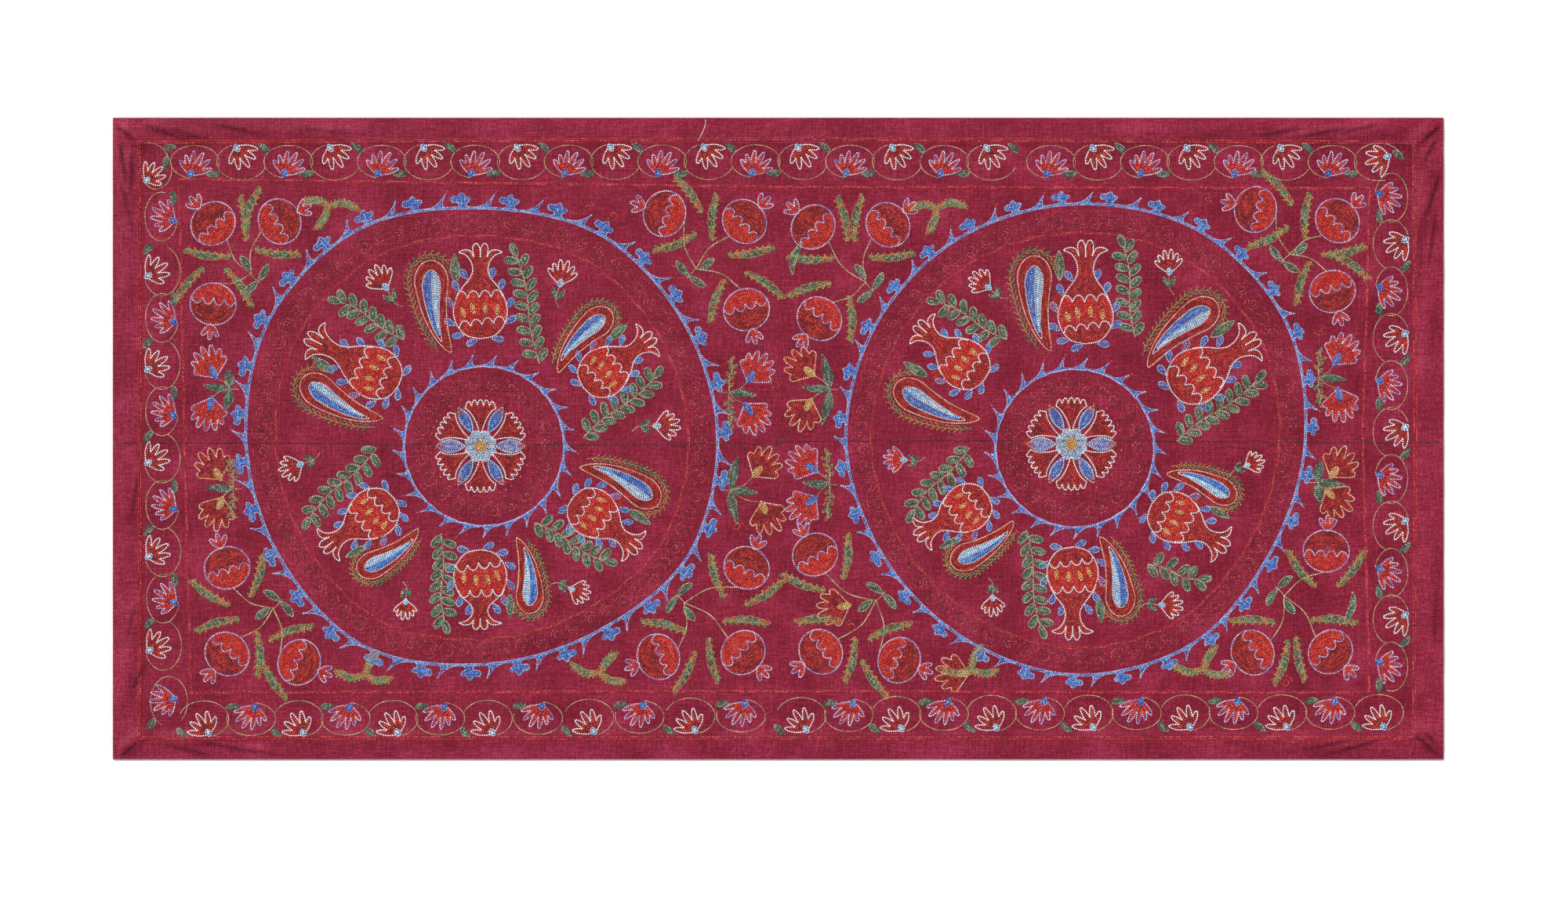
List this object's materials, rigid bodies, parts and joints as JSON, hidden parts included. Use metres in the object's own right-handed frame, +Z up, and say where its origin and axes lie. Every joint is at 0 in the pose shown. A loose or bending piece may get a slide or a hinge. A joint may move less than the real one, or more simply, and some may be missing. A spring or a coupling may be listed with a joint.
{
  "type": "suzani embroidered textile",
  "caption": "Long suzani cloth of crimson silk with deep mitred hems, chain-stitched with round medallions, pomegranates, paisleys and a vine border, lying flat and face up.",
  "frame": {"origin": "middle of the cloth's outline, on the surface that it lies on", "axes": "+X along the length, +Y towards the top edge of the pattern, +Z up out of the embroidered face"},
  "size_m": [1.9006, 0.9167, 0.0063],
  "materials": {
    "crimson_silk": "plain-woven silk with a low sheen",
    "red_thread": "chain-stitched silk thread, bright red",
    "blue_thread": "chain-stitched silk thread, blues and lavender",
    "green_thread": "chain-stitched silk thread, greens and olive",
    "pale_thread": "chain-stitched silk thread, white, gold and beige"
  },
  "bodies": {
    "root": {"upper_strip": "crimson_silk", "lower_strip": "crimson_silk"}
  },
  "joints": []
}
